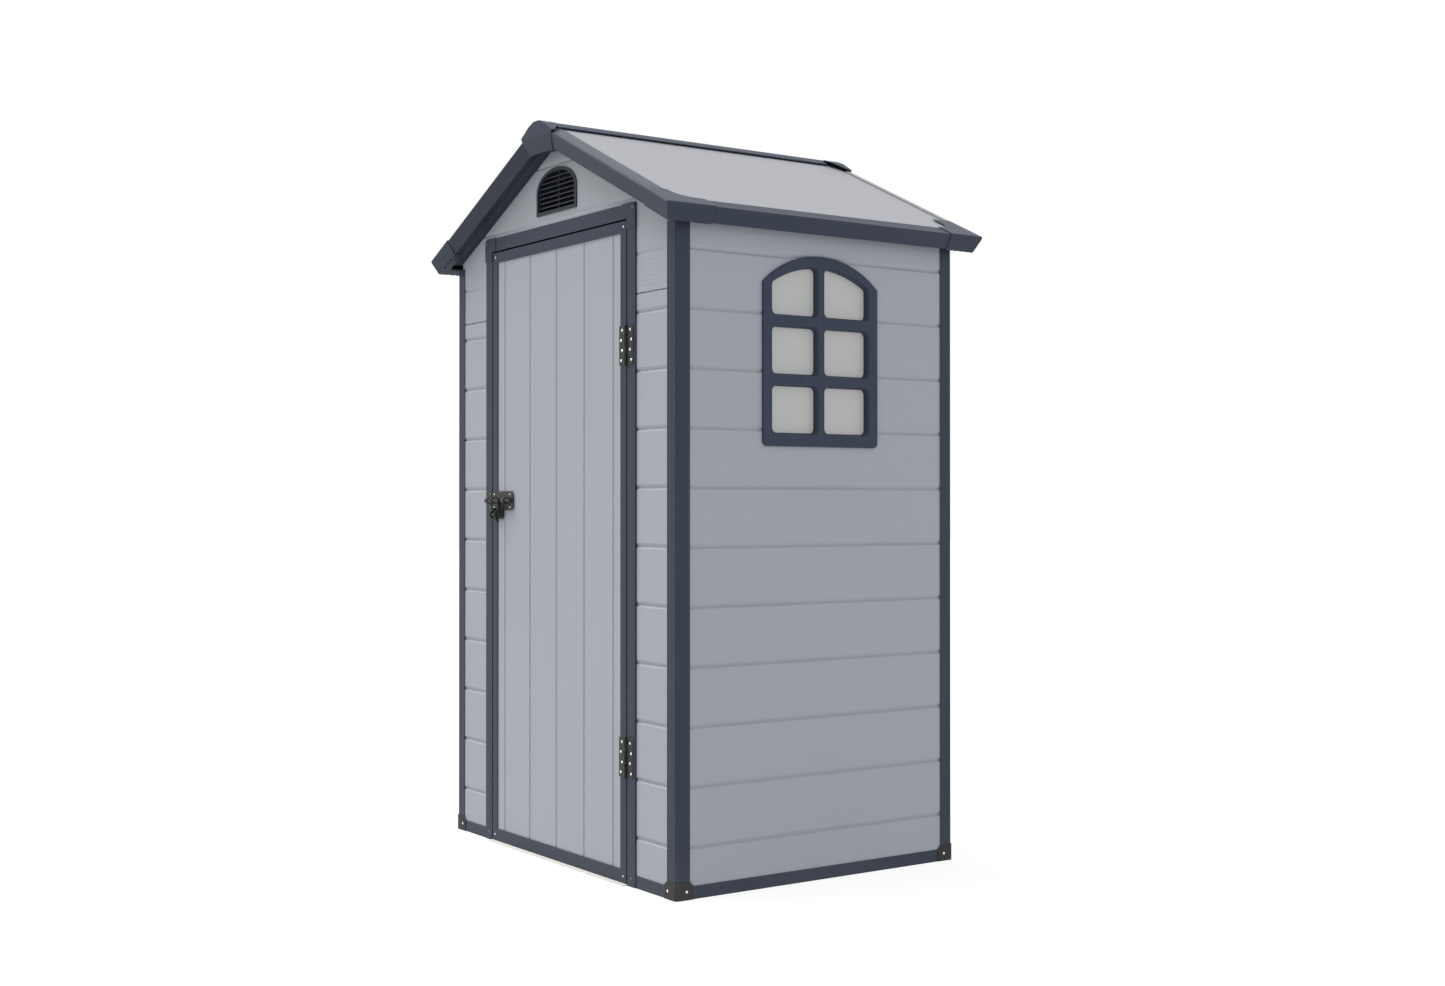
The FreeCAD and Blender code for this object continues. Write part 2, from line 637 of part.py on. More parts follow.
def cap_outline(sink):
    """The ridge cap's line, less sink: flat on top, then falling a little steeper than the roof."""
    top = RIDGE_TOP - sink
    edge = top - (RIDGE_HALF - RIDGE_FLAT) * math.tan(math.radians(RIDGE_FALL))
    return [(-RIDGE_HALF, edge), (-RIDGE_FLAT, top), (RIDGE_FLAT, top), (RIDGE_HALF, edge)]


def ridge_cap():
    """A folded strip over the ridge, with a keel that stands on the sheets."""
    sheet, keel = 2.6, 5.0
    under = cap_outline(sheet)
    points = [*cap_outline(0.0), *reversed(under)]
    length, keel_length = GABLE_Y - END_REACH - 0.5, GABLE_Y - BARGE_FLANGE - 0.5
    seat = roof_line(-PANEL_TOP - 0.2)
    foot = [(-keel, seat - keel * TAN), (0, seat), (keel, seat - keel * TAN), (keel, under[1][1] + 0.5)]
    foot = prism([*foot, (-keel, under[1][1] + 0.5)], "xz", -keel_length, keel_length)
    return prism(points, "xz", -length, length).fuse(foot).removeSplitter()


def roof_edge_space():
    """The space that both front barge boards and the roof's edge take under a ridge end cap."""
    points = [(-GABLE_Y + v, n) for v, n in leaning_profile(BARGE_LEAN, 0.15, END_REACH + 1)]
    return both_slopes(prism(points, "yz", -60, 2 * END_S))


def both_slopes(shape):
    """A shape drawn in the slope's frame, on the right slope and on the left."""
    half = on_slope(shape, 0.0)
    return half.fuse(mirror_x(half))


def on_slope_line(along, over):
    """X and Z of the point this far down the right slope, and over its trim plane."""
    return along * COS + over * SIN, RIDGE_Z - along * SIN + over * COS


def hood_outline(end, low, sink):
    """A ridge end cap's line across the ridge: from low under the trim plane up to the top, less sink."""
    (x1, z1), (x2, z2) = END_SHOULDER, END_TOP
    right = [on_slope_line(end, -low), on_slope_line(end, END_RISE - sink)]
    right += [(x1, z1 - sink), (x2, z2 - sink)]
    return [*right, *((-x, z) for x, z in reversed(right))]


def ridge_end_cap():
    """The front ridge end cap: a flat face over the barge boards' tops, a tapered hood and a soffit."""
    face, reach = -GABLE_Y - CAP_T, -GABLE_Y + END_REACH
    foot = face + BARGE_LEAN
    bend = on_slope_line(END_S, 0)[1]
    side = [(foot, END_LOW), (face, bend), (face, RIDGE_Z + 20), (reach, RIDGE_Z + 20), (reach, END_LOW)]
    body = prism(hood_outline(END_S, TRIM_H + CAP_T, 0.0), "xz", face - 1, reach)
    body = body.common(prism(side, "yz", -2 * END_S, 2 * END_S)).cut(roof_edge_space())
    inside = hood_outline(END_S + 4, 1.0, CAP_T) + [(0, roof_line(1.0))]
    body = body.cut(prism(inside, "xz", -GABLE_Y + 0.5, reach + 1))
    body = body.cut(both_slopes(box(-60, END_S + 4, foot + 2.4, reach + 1, -99, -TRIM_H + 1)))
    taper = [(END_S, -GABLE_Y + 3), (END_S, reach + 1), (RIDGE_HALF + 2, reach + 1)]
    taper = prism(taper, "xy", bend - 8, RIDGE_Z + 20)
    body = body.cut(taper).cut(mirror_x(taper))
    soffit = box(-38, 38, foot, -HY - 0.6, SOFFIT_LOW, SOFFIT_LOW + CAP_T)
    return body.fuse(soffit).removeSplitter()


def ridge_beam():
    """A square steel tube under the ridge, between the two gable panels."""
    half, top = 15.0, 2015.0
    end = HY - BOARD_IN - 3.4
    tube = box(-half, half, -end, end, top - 40, top)
    return tube.cut(box(-half + 2, half - 2, -end - 1, end + 1, top - 38, top - 2))


def beam_brackets():
    """The two steel saddles that carry the ridge beam, standing on the inside of the gables."""
    half, top, t = 15.2, 2015.0, 2.0
    y0 = -HY + BOARD_IN + 0.1
    seat = top - 40.2
    saddle = box(-half - t, half + t, y0 + 3.4, y0 + 30, seat - t, top - 12)
    saddle = saddle.cut(box(-half, half, y0, y0 + 31, seat, top))
    leg = box(-half - t, half + t, y0, y0 + 5, seat - t, seat - 0.1)
    plate = box(-half - 18, half + 18, y0, y0 + t, seat - 24, seat - t)
    behind = box(-half - t, half + t, y0 + t, y0 + 3.4, seat - 40, seat - t)
    body = joined([saddle, leg, plate]).cut(behind)
    return [body, mirror_y(body)]


def wall_top_rail():
    """The right wall's top rail: a channel on the boards, sloped to carry the roof sheet."""
    skin = 2.6
    out, board_face = HX - 0.2, HX - BOARD_OUT + FIT
    board_back, low = HX - BOARD_IN - FIT, POST_TOP + 8

    def roof(x):
        return RIDGE_Z - x * TAN + PANEL_LOW / COS - 0.4

    inner = board_back - skin
    points = [
        (out, low), (board_face, low), (board_face, BOARD_TOP + FIT), (board_back, BOARD_TOP + FIT),
        (board_back, low), (inner, low), (inner, roof(inner)), (out, roof(out)),
    ]
    return prism(points, "xz", -(HY - BOARD_IN - 4), HY - BOARD_IN - 4)


# ---- Door frame ----------------------------------------------------------------------------------
def door_jamb():
    """The right jamb: a hollow post with a board slot outside and a door stop inside."""
    f, back = FACE_Y, FACE_Y + FRAME_DEEP
    slot0, slot1 = -HY + BOARD_OUT - FIT, -HY + BOARD_IN + FIT
    points = [
        (FRAME_IN, f), (FRAME_OUT, f), (FRAME_OUT, slot0), (FRAME_OUT - SLOT, slot0),
        (FRAME_OUT - SLOT, slot1), (FRAME_OUT, slot1), (FRAME_OUT, back),
        (FRAME_IN - STOP, back), (FRAME_IN - STOP, back - 3), (FRAME_IN, back - 3),
    ]
    body = prism(points, "xy", 0, HEADER_BOTTOM)
    body = body.cut(box(FRAME_IN + 3, FRAME_OUT - SLOT - 3, f + 3, back - 3, 3, HEADER_BOTTOM - 3))
    return fillet(body, 1.5, along("z", lambda p: abs(p.y - f) < 0.01))


def door_header():
    f, back = FACE_Y, FACE_Y + FRAME_DEEP
    slot0, slot1 = -HY + BOARD_OUT - FIT, -HY + BOARD_IN + FIT
    body = box(-FRAME_OUT, FRAME_OUT, f, back, HEADER_BOTTOM, HEADER_TOP)
    reach = FRAME_IN - STOP
    stop = box(-reach, reach, back - 3, back, HEADER_BOTTOM - STOP, HEADER_BOTTOM)
    body = body.fuse(stop).removeSplitter()
    body = body.cut(box(-HX, HX, slot0, slot1, HEADER_TOP - SLOT, HEADER_TOP + 1))
    for side in (-1, 1):
        ends = sorted((side * (FRAME_OUT - SLOT), side * HX))
        body = body.cut(box(*ends, slot0, slot1, 0, HEADER_TOP + 1))
    hollow = box(-FRAME_IN, FRAME_IN, f + 3, back - 3, HEADER_BOTTOM + 3, HEADER_TOP - SLOT - 3)
    return body.cut(hollow)


def frame_corner():
    """The right corner plate over the joint of header and jamb, with one rounded corner."""
    t, grow = CORNER_T, 1.5
    outer = FRAME_OUT + grow
    top = HEADER_TOP + grow
    points = [
        (outer, HEADER_TOP - 66), (outer, top), (FRAME_IN - 22, top),
        (FRAME_IN - 22, HEADER_BOTTOM + 0.5), (FRAME_IN + 0.5, HEADER_BOTTOM + 0.5),
        (FRAME_IN + 0.5, HEADER_TOP - 66),
    ]
    body = prism(points, "xz", FACE_Y - t, FACE_Y - 0.05)
    body = fillet(body, 14, along("y", lambda p: p.x > outer - 1 and p.z > top - 1))
    return drilled(body, FRAME_SCREWS[:1], (0, -1, 0), **SMALL)


FRAME_SCREWS = [
    (FRAME_OUT - 12, FACE_Y - CORNER_T, HEADER_TOP - 12),
    ((FRAME_IN + FRAME_OUT) / 2, FACE_Y, 22.0),
]


def threshold():
    """An aluminium strip under the door that slopes down to a thin edge in front of it."""
    back = FACE_Y + FRAME_DEEP - 3.5
    nose = FACE_Y - THRESHOLD_OUT
    points = [(nose, 0), (back, 0), (back, 3.2), (FACE_Y - 0.5, 3.2), (nose, 1.2)]
    return prism(points, "yz", -FRAME_IN + 0.3, FRAME_IN - 0.3)


# ---- Door leaf -----------------------------------------------------------------------------------
LEAF_BACK = FACE_Y + LEAF_T
PANEL_FACE = FACE_Y + DOOR_RECESS
PANEL_BACK = PANEL_FACE + BOARD_T
DOOR_SCREWS = [
    (side * (LEAF_X - STILE / 2), FACE_Y, z)
    for side in (-1, 1)
    for z in (LEAF_BOTTOM + 16, LEAF_TOP - 14)
]


def door_stile():
    """The right stile: full height, hollow, with a slot for the door boards."""
    inner = LEAF_X - STILE
    points = [
        (LEAF_X, FACE_Y), (LEAF_X, LEAF_BACK), (inner, LEAF_BACK), (inner, PANEL_BACK + FIT),
        (inner + SLOT, PANEL_BACK + FIT), (inner + SLOT, PANEL_FACE - FIT),
        (inner, PANEL_FACE - FIT), (inner, FACE_Y),
    ]
    body = prism(points, "xy", LEAF_BOTTOM, LEAF_TOP)
    z0, z1 = LEAF_BOTTOM + 3, LEAF_TOP - 3
    body = body.cut(box(inner + SLOT + 3, LEAF_X - 3, FACE_Y + 3, LEAF_BACK - 3, z0, z1))
    return fillet(body, 1.2, along("z", lambda p: abs(p.y - FACE_Y) < 0.01))


def door_rail(low, high, slot_up):
    inner = LEAF_X - STILE - 0.05
    body = box(-inner, inner, FACE_Y, LEAF_BACK, low, high)
    z0, z1 = (high - SLOT, high + 1) if slot_up else (low - 1, low + SLOT)
    body = body.cut(box(-inner, inner, PANEL_FACE - FIT, PANEL_BACK + FIT, z0, z1))
    z0, z1 = (low + 3, high - SLOT - 3) if slot_up else (low + SLOT + 3, high - 3)
    return body.cut(box(-inner, inner, FACE_Y + 3, LEAF_BACK - 3, z0, z1))


def door_boards():
    """Upright tongued boards, with a cut strip at each side."""
    half = LEAF_X - STILE + SLOT - FIT
    low, high = LEAF_BOTTOM + BOTTOM_RAIL - SLOT + FIT, LEAF_TOP - TOP_RAIL + SLOT - FIT
    made = []
    for board in boards(-half, half, -2 * DOOR_PITCH, DOOR_PITCH, low, high, (DOOR_GROOVE, DOOR_GROOVE)):
        board = turned(board, (0, 1, 0), 90)
        board = moved(board, 0, PANEL_FACE, low + high)
        made.append(board)
    return made


# ---- Hinges --------------------------------------------------------------------------------------
def hinge_screws(side, mid):
    """Four staggered screw points on one hinge leaf: side is 1 on the jamb and -1 on the door."""
    return [
        (HINGE_X + side * HINGE_SCREW_X[k % 2], FACE_Y - HINGE_T, mid + (1.5 - k) * HINGE_SCREW_PITCH)
        for k in range(4)
    ]


def hinge_leaf(side, mid):
    """One leaf with its knuckles: three on the jamb's leaf and two on the door's."""
    z0 = mid - HINGE_H / 2
    inner, outer = HINGE_X + side * 1.2, HINGE_X + side * HINGE_W
    x0, x1 = sorted((inner, outer))
    leaf = box(x0, x1, FACE_Y - HINGE_T, FACE_Y - 0.05, z0, z0 + HINGE_H)
    leaf = fillet(leaf, 2.5, along("y", lambda p: abs(p.x - outer) < 0.01))
    step = HINGE_H / KNUCKLES
    first = 0 if side > 0 else 1
    own, other = range(first, KNUCKLES, 2), range(1 - first, KNUCKLES, 2)
    feet = [(HINGE_X, HINGE_Y, z0 + k * step + 0.2) for k in own]
    knuckles = [cyl(KNUCKLE_R, step - 0.4, foot, (0, 0, 1)) for foot in feet]
    body = leaf.fuse(knuckles).removeSplitter()
    for k in other:
        body = body.cut(cyl(KNUCKLE_R + 0.4, step, (HINGE_X, HINGE_Y, z0 + k * step), (0, 0, 1)))
    body = body.cut(cyl(PIN_R + 0.05, HINGE_H + 2, (HINGE_X, HINGE_Y, z0 - 1), (0, 0, 1)))
    return drilled(body, hinge_screws(side, mid), (0, -1, 0))


def hinge_pin(mid):
    z0 = mid - HINGE_H / 2
    pin = cyl(PIN_R, HINGE_H, (HINGE_X, HINGE_Y, z0), (0, 0, 1))
    for z, up in ((z0, -1), (z0 + HINGE_H, 1)):
        pin = pin.fuse(Part.makeCone(PIN_R + 1.2, PIN_R, 2.0, V(HINGE_X, HINGE_Y, z), V(0, 0, up)))
    return pin.removeSplitter()


# ---- Bolt latch ----------------------------------------------------------------------------------
PLATE_X, PLATE_Z = (-372.7, -246.0), (975.0, 1030.0)
FOOT_X, FOOT_Z = (-372.7, -305.0), 949.0
KEEPER_X, KEEPER_Z = (-402.0, -379.0), (977.0, 1029.0)
GUIDES = ((-367.0, -355.0), (-293.0, -279.0))
KEEPER_GUIDE = (-395.0, -381.0)
PLATE_LUG_X, BOLT_LUG_X = -342.0, -315.0
BOLT_TIP, BOLT_END = -372.0, -250.0
LATCH_SCREWS = [(x, FACE_Y - PLATE_T, z) for x in (-361.0, -264.0) for z in (984.0, 1021.0)]
KEEPER_SCREWS = [(-387.0, FACE_Y - PLATE_T, z) for z in (984.0, 1021.0)]


def bolt_guide(x0, x1):
    """A loop that holds the bolt against its plate."""
    back = FACE_Y - PLATE_T
    block = box(x0, x1, BOLT_Y, back + 0.5, BOLT_Z - 8.5, BOLT_Z + 8.5)
    block = block.fuse(cyl(8.5, x1 - x0, (x0, BOLT_Y, BOLT_Z), (1, 0, 0)))
    return block.cut(cyl(BOLT_R + 0.1, x1 - x0 + 2, (x0 - 1, BOLT_Y, BOLT_Z), (1, 0, 0)))


def lug_shape(x, low):
    """A plate standing out from the door, with a rounded end round the padlock hole."""
    back = FACE_Y - PLATE_T
    plate = box(x, x + LUG_T, LUG_Y, back + 0.5, low, BOLT_Z - 22)
    plate = plate.fuse(cyl(11.0, LUG_T, (x, LUG_Y, LUG_Z), (1, 0, 0)))
    plate = plate.common(box(x, x + LUG_T, LUG_Y - 11, back + 0.5, low, BOLT_Z))
    return plate.cut(cyl(LUG_R, LUG_T + 2, (x - 1, LUG_Y, LUG_Z), (1, 0, 0)))


def latch_plate():
    back = FACE_Y - PLATE_T
    plate = box(*PLATE_X, back, FACE_Y - 0.05, *PLATE_Z)
    plate = fillet(plate, 12, along("y", lambda p: p.x > PLATE_X[1] - 1))
    foot = box(*FOOT_X, back, FACE_Y - 0.05, FOOT_Z, PLATE_Z[0] + 1)
    foot = fillet(foot, 8, along("y", lambda p: p.z < FOOT_Z + 1))
    lug = lug_shape(PLATE_LUG_X, FOOT_Z + 2)
    body = joined([plate, foot, lug, *[bolt_guide(*g) for g in GUIDES]])
    for x0, x1 in GUIDES:
        body = body.cut(cyl(BOLT_R + 0.1, x1 - x0 + 2, (x0 - 1, BOLT_Y, BOLT_Z), (1, 0, 0)))
    return drilled(body, LATCH_SCREWS, (0, -1, 0), **SMALL)


def latch_bolt():
    """The sliding bolt: a rod, and a bent arm with the second padlock lug and a finger tip."""
    rod = cyl(BOLT_R, BOLT_END - BOLT_TIP, (BOLT_TIP, BOLT_Y, BOLT_Z), (1, 0, 0))
    x = BOLT_LUG_X
    arm = box(x, x + LUG_T, BOLT_Y - 9, BOLT_Y + 4.2, LUG_Z, BOLT_Z + 6)
    lug = cyl(11.0, LUG_T, (x, LUG_Y, LUG_Z), (1, 0, 0))
    finger = box(x, x + LUG_T, LUG_Y - 5, LUG_Y + 5, 943, LUG_Z)
    finger = finger.fuse(box(x, x + 9, LUG_Y - 5, LUG_Y + 5, 941, 944))
    body = joined([rod, arm, lug, finger])
    return body.cut(cyl(LUG_R, LUG_T + 2, (x - 1, LUG_Y, LUG_Z), (1, 0, 0)))


def latch_keeper():
    back = FACE_Y - PLATE_T
    plate = box(*KEEPER_X, back, FACE_Y - 0.05, *KEEPER_Z)
    plate = fillet(plate, 9, along("y", lambda p: p.x < KEEPER_X[0] + 1))
    body = joined([plate, bolt_guide(*KEEPER_GUIDE)])
    x0, x1 = KEEPER_GUIDE
    body = body.cut(cyl(BOLT_R + 0.4, x1 - x0 + 2, (x0 - 1, BOLT_Y, BOLT_Z), (1, 0, 0)))
    return drilled(body, KEEPER_SCREWS, (0, -1, 0), **SMALL)


# ---- Window --------------------------------------------------------------------------------------
def window_outline(grow):
    """The window's outline in the X-Z plane, grown by grow."""
    return arch(WIN_W / 2, WIN_Z0, WIN_SPRING, WIN_TOP, grow)


def pane_openings(grow):
    """The six openings, each a face in the X-Z plane, grown by grow on every side."""
    inner = window_outline(-WIN_BORDER + grow)
    faces = []
    for side in (-1, 1):
        x0 = side * (MULLION / 2) if side > 0 else -MULLION / 2 - PANE_W
        for row in range(3):
            z0 = WIN_Z0 + WIN_BORDER + 4.0 + row * (PANE_H + WIN_RAIL)
            high = PANE_H if row < 2 else 200.0
            corner = V(x0 - grow, 0, z0 - grow)
            cell = Part.makePlane(PANE_W + 2 * grow, high + 2 * grow, corner, V(0, -1, 0), V(1, 0, 0))
            faces.append(cell if row < 2 else cell.common(inner))
    return faces


def to_right_wall(shape):
    """Carries a shape drawn on the front wall's X-Z plane to the right wall: -Y turns into +X."""
    shape = turned(shape, (0, 0, 1), 90)
    return moved(shape, HX, WIN_Y, 0)


def pane_cutter(y0, y1, grow, radius):
    cutters = []
    for face in pane_openings(grow):
        block = slab(face, y0, y1)
        cutters.append(fillet(block, radius, along("y")))
    return cutters


def window_outer():
    """The outside frame: a flange on the boards and a collar through the wall."""
    front, wall = -WIN_PROUD, BOARD_OUT
    flange = slab(window_outline(0), front, wall)
    flange = fillet(flange, 14, along("y", lambda p: p.z < WIN_Z0 + 1))
    flange = fillet(flange, 2.0, lambda e: all(abs(v.Point.y - front) < 0.01 for v in e.Vertexes))
    collar = slab(window_outline(-14), wall - 0.5, PANE_FRONT - 0.1)
    body = flange.fuse(collar).removeSplitter()
    for cutter in pane_cutter(front - 1, PANE_FRONT + 1, 0, 14):
        body = body.cut(cutter)
    for face in pane_openings(0):
        mouth = slab(face, front - 0.01, front + 7)
        mouth = fillet(mouth, 14, along("y"))
        rim = [e for e in mouth.Edges if all(abs(v.Point.y - front) < 0.1 for v in e.Vertexes)]
        body = body.cut(chamfer_ring(mouth, rim, front))
    return body


def chamfer_ring(mouth, rim, front):
    """A tapered plug that opens an opening's mouth out by 4 mm at the face."""
    outer = Part.Wire(Part.__sortEdges__(rim)).makeOffset2D(4.0, 2)
    inner = Part.Wire(Part.__sortEdges__(rim)).makeOffset2D(-0.01, 2)
    inner.translate(V(0, 6.0, 0))
    return Part.makeLoft([outer, inner], True, True)


def window_inner():
    """The inside frame, which clamps the pane against the collar."""
    body = slab(window_outline(0), BOARD_IN + 0.1, BOARD_IN + 5)
    for cutter in pane_cutter(BOARD_IN, BOARD_IN + 6, 0, 14):
        body = body.cut(cutter)
    return body


def window_pane():
    return slab(window_outline(-14), PANE_FRONT, BOARD_IN)


def with_window_hole(wall):
    hole = to_right_wall(slab(window_outline(-13.5), -5, BOARD_IN + 5))
    return [board.cut(hole) for board in wall]


# ---- Everything ----------------------------------------------------------------------------------
FORWARD = (0, -1, 0)
BRACKET_SCREWS = [
    ((-HX + 36, -HY - BRACKET_T, 21), FORWARD),
    ((-HX - BRACKET_T, -HY + 31, 21), (-1, 0, 0)),
]


def four_corners(shape):
    """The front left piece and its three mirror images, by the name of the corner."""
    right = mirror_x(shape)
    return {
        "front_left": shape,
        "front_right": right,
        "back_left": mirror_y(shape),
        "back_right": mirror_y(right),
    }


def both_sides(points):
    return [(side * x, y, z) for x, y, z in points for side in (-1, 1)]


def small_screws(points):
    return [screw(p, FORWARD, head_r=SMALL_HEAD, **SMALL) for p in points]


def drilled_for_brackets(shape):
    for at, out in BRACKET_SCREWS:
        shape = drilled(shape, [at], out)
    return shape


def export_base_and_posts():
    for corner, shape in four_corners(drilled_for_brackets(corner_post())).items():
        export("corner_post_" + corner, [shape])
    export("base_brackets", four_corners(drilled_for_brackets(base_bracket())).values())
    screws = [s for at, out in BRACKET_SCREWS for s in four_corners(screw(at, out)).values()]
    export("base_bracket_screws", screws)
    side = side_rail()
    export("base_rail_left", [side])
    export("base_rail_right", [mirror_x(side)])
    export("base_rail_back", [mirror_y(base_rail(-(HX - POST), HX - POST))])
    front = base_rail(FRAME_OUT, HX - POST)
    export("base_rails_front", [front, mirror_x(front)])


def export_walls():
    low_y = both_sides([(x, y, z) for (x, y, z), _ in BRACKET_SCREWS[:1]])
    low_x = [(x, side * y, z) for (x, y, z), _ in BRACKET_SCREWS[1:] for side in (-1, 1)]
    left = [drilled(board, low_x, (-1, 0, 0)) for board in side_boards()]
    export("left_wall_boards", left)
    export("right_wall_boards", with_window_hole([mirror_x(board) for board in left]))
    export("back_wall_boards", [mirror_y(drilled(mirror_y(b), low_y, FORWARD)) for b in back_boards()])
    fronts = [drilled(b, KEEPER_SCREWS, FORWARD, **SMALL) for b in front_boards()]
    export("front_wall_boards", [drilled(b, low_y, FORWARD) for b in fronts])
    export("front_gable_panel", [drilled(front_gable(), both_sides(FRAME_SCREWS[:1]), FORWARD, **SMALL)])
    sheet, hollow = gable_panel()
    export("back_gable_panel", [mirror_y(sheet.cut(hollow))])
    export("gable_trims_front", gable_trims(0.0))
    export("gable_trims_back", [mirror_y(trim) for trim in gable_trims(RIM_SET_IN)])
    rail = wall_top_rail()
    export("wall_top_rails", [rail, mirror_x(rail)])


def export_roof():
    pairs = {
        "roof_panel": roof_panel(),
        "eave_fascia": eave_fascia(),
        "barge_board_front": barge_board(),
        "barge_board_back": mirror_y(back_barge_board()),
    }
    for name, right in pairs.items():
        export(name + "_right", [right])
        export(name + "_left", [mirror_x(right)])
    rim, front_cap, back_cap = roof_rim(), eave_cap(*CAP_FRONT), mirror_y(eave_cap(*CAP_BACK))
    export("roof_rim_back", [rim, mirror_x(rim)])
    export("eave_caps_front", [front_cap, mirror_x(front_cap)])
    export("eave_caps_back", [back_cap, mirror_x(back_cap)])
    export("ridge_cap", [ridge_cap()])
    end_cap = ridge_end_cap()
    export("ridge_end_cap_front", [end_cap])
    export("ridge_end_cap_back", [mirror_y(end_cap)])
    export("ridge_beam", [ridge_beam()])
    export("ridge_beam_brackets", beam_brackets())


def export_door_frame():
    jamb = drilled(door_jamb(), FRAME_SCREWS[1:], FORWARD, **SMALL)
    hinge_points = [p for mid in HINGE_Z for p in hinge_screws(1, mid)]
    export("door_jamb_right", [drilled(jamb, hinge_points, FORWARD)])
    export("door_jamb_left", [drilled(mirror_x(jamb), KEEPER_SCREWS, FORWARD, **SMALL)])
    export("door_header", [drilled(door_header(), both_sides(FRAME_SCREWS[:1]), FORWARD, **SMALL)])
    corner = frame_corner()
    export("door_frame_corners", [corner, mirror_x(corner)])
    export("threshold_strip", [threshold()])
    export("latch_keeper", [latch_keeper()])
    export("hinge_jamb_leaves", [hinge_leaf(1, z) for z in HINGE_Z])
    export("hinge_pins", [hinge_pin(z) for z in HINGE_Z])
    export("hinge_jamb_screws", [screw(p, FORWARD) for p in hinge_points])
    export("door_frame_screws", small_screws(both_sides(FRAME_SCREWS) + KEEPER_SCREWS))


def export_door():
    hinge_points = [p for mid in HINGE_Z for p in hinge_screws(-1, mid)]
    stile = door_stile()
    hinge_side = drilled(stile, hinge_points, FORWARD)
    export("door_stile_hinge_side", [drilled(hinge_side, DOOR_SCREWS, FORWARD, **SMALL)])
    latch_side = drilled(mirror_x(stile), DOOR_SCREWS + LATCH_SCREWS, FORWARD, **SMALL)
    export("door_stile_latch_side", [latch_side])
    export("door_rail_top", [door_rail(LEAF_TOP - TOP_RAIL, LEAF_TOP, False)])
    export("door_rail_bottom", [door_rail(LEAF_BOTTOM, LEAF_BOTTOM + BOTTOM_RAIL, True)])
    panels = [drilled(board, hinge_points, FORWARD) for board in door_boards()]
    export("door_boards", [drilled(board, LATCH_SCREWS, FORWARD, **SMALL) for board in panels])
    export("hinge_door_leaves", [hinge_leaf(-1, z) for z in HINGE_Z])
    export("hinge_door_screws", [screw(p, FORWARD) for p in hinge_points])
    export("latch_plate", [latch_plate()])
    export("latch_bolt", [latch_bolt()])
    export("door_screws", small_screws(DOOR_SCREWS + LATCH_SCREWS))


def export_window_and_vent():
    export("window_frame_outer", [to_right_wall(window_outer())])
    export("window_frame_inner", [to_right_wall(window_inner())])
    export("window_pane", [to_right_wall(window_pane())])
    export("vent_frame", [vent_frame()])
    export("vent_louvres", [vent_louvres()])


os.makedirs("parts", exist_ok=True)
export_base_and_posts()
export_walls()
export_roof()
export_door_frame()
export_door()
export_window_and_vent()
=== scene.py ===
import math

import bpy
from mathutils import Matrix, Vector


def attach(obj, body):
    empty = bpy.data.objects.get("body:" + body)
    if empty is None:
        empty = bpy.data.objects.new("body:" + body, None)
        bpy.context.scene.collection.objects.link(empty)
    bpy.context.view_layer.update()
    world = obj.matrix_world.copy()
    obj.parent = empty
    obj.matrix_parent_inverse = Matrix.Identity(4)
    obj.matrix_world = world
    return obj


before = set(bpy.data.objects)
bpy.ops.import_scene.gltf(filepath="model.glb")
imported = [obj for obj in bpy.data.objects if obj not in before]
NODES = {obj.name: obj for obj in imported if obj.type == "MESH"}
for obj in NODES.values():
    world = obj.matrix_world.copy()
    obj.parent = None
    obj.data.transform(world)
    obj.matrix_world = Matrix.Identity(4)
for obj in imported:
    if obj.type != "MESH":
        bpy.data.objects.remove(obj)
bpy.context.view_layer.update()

MM = 0.001

# ---- Finishes --------------------------------------------------------------------------------------
# Base colours are linear. Each finish is one moulded, extruded or plated surface of the real object; the
# trim also has lighter and darker copies that are painted light and painted shade.
WALL_GREY = (0.271, 0.285, 0.311)
ROOF_GREY = (0.2135, 0.2165, 0.2325)
ANTHRACITE = (0.0178, 0.0252, 0.0438)
CHARCOAL = (0.0185, 0.0185, 0.0175)
PANE_GREY = (0.185, 0.185, 0.180)
# Black of the door seals, painted shade for the dark gap beside the door.
SEAL_SHADE_BLACK = (0.004, 0.004, 0.005)
BRIGHT_ZINC = (0.80, 0.80, 0.79)
DULL_ZINC = (0.26, 0.26, 0.27)
GALVANISED = (0.50, 0.51, 0.52)
MILL_FINISH = (0.50, 0.49, 0.46)
BARE_STEEL = (0.30, 0.30, 0.29)
GROUND_DUST = (0.30, 0.28, 0.25)
# Colour of the panes' painted glow.
PANE_GLOW_COLOUR = (1.0, 1.0, 0.99)

# Streaks for a noise, in features per metre on each axis: few of them along the run, many across it.
ALONG_X = (4.0, 260.0, 260.0)
ALONG_Y = (260.0, 4.0, 260.0)
ALONG_Z = (260.0, 260.0, 4.0)
BRUSHED_X = (6.0, 900.0, 900.0)
BRUSHED_Y = (260.0, 6.0, 260.0)
CLOUDED = (60.0, 60.0, 60.0)
SPECKLED = (900.0, 900.0, 900.0)

PLASTIC_GRAIN = 0.02 * MM              # relief of the fine grain and of the streaks
PLASTIC_EDGE_WEAR_AND_HIGHLIGHT = 1.4 * MM                # how far in from an edge plastic is worn and carries a painted highlight
STEEL_WEAR = 0.9 * MM
DUST_TOP = 160 * MM                    # dust fades out at this height
EDGE_GAIN = 6.0                        # how fast a turning surface counts as an edge, for wear and for the painted edge highlight
EDGE_SAMPLES = 4
PANE_PAINTED_GLOW = 0.197                      # painted glow of the window sheet, which evens out its shading
